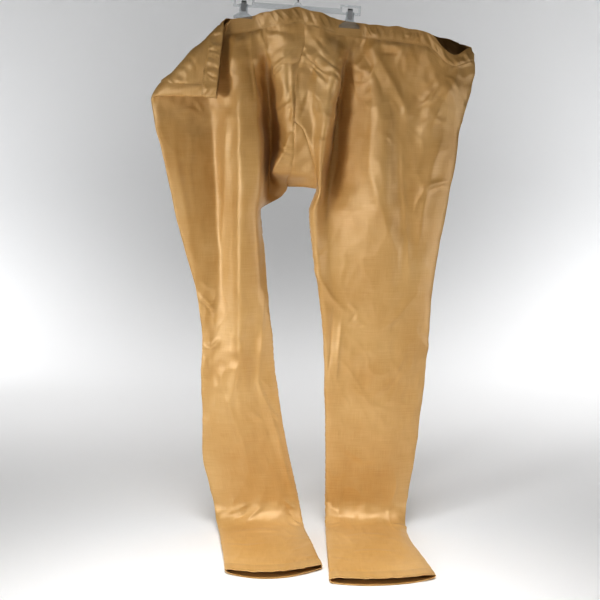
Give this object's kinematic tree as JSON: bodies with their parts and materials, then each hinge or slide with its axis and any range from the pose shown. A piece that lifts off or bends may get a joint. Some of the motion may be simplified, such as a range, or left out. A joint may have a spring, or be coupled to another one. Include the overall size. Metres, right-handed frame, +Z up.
{
  "type": "skinny drawstring trousers held by a two-clip hanger",
  "caption": "Satin drawstring trousers, wide at the waist with long narrow legs, clipped to a clear hanger; one waist corner is folded over and the leg ends lie forward on the ground.",
  "frame": {"origin": "inside top of the hanger's hook, where it rests on a rail", "axes": "+Z up; the front of the trousers faces -Y; +X runs across the waist, to the right as seen from the front"},
  "size_m": [0.5687, 0.361, 1.0459],
  "materials": {
    "satin": "golden tan satin with a fine crosswise slub",
    "satin_turned": "the same satin, turned double and stitched",
    "clear_plastic": "clear moulded plastic, slightly worn",
    "spring_steel": "plain bright spring steel and wire"
  },
  "bodies": {
    "root": {"front_left": "satin", "back_left": "satin", "front_right": "satin", "back_right": "satin", "gusset": "satin", "casing_front_left": "satin_turned", "casing_back_left": "satin_turned", "casing_front_right": "satin_turned", "casing_back_right": "satin_turned", "hem_left": "satin_turned", "hem_right": "satin_turned", "hanger_bar": "clear_plastic", "clip_left_front_jaw": "clear_plastic", "clip_left_back_jaw": "clear_plastic", "clip_right_front_jaw": "clear_plastic", "clip_right_back_jaw": "clear_plastic", "hanger_hook": "spring_steel", "clip_left_spring": "spring_steel", "clip_right_spring": "spring_steel"}
  },
  "joints": []
}
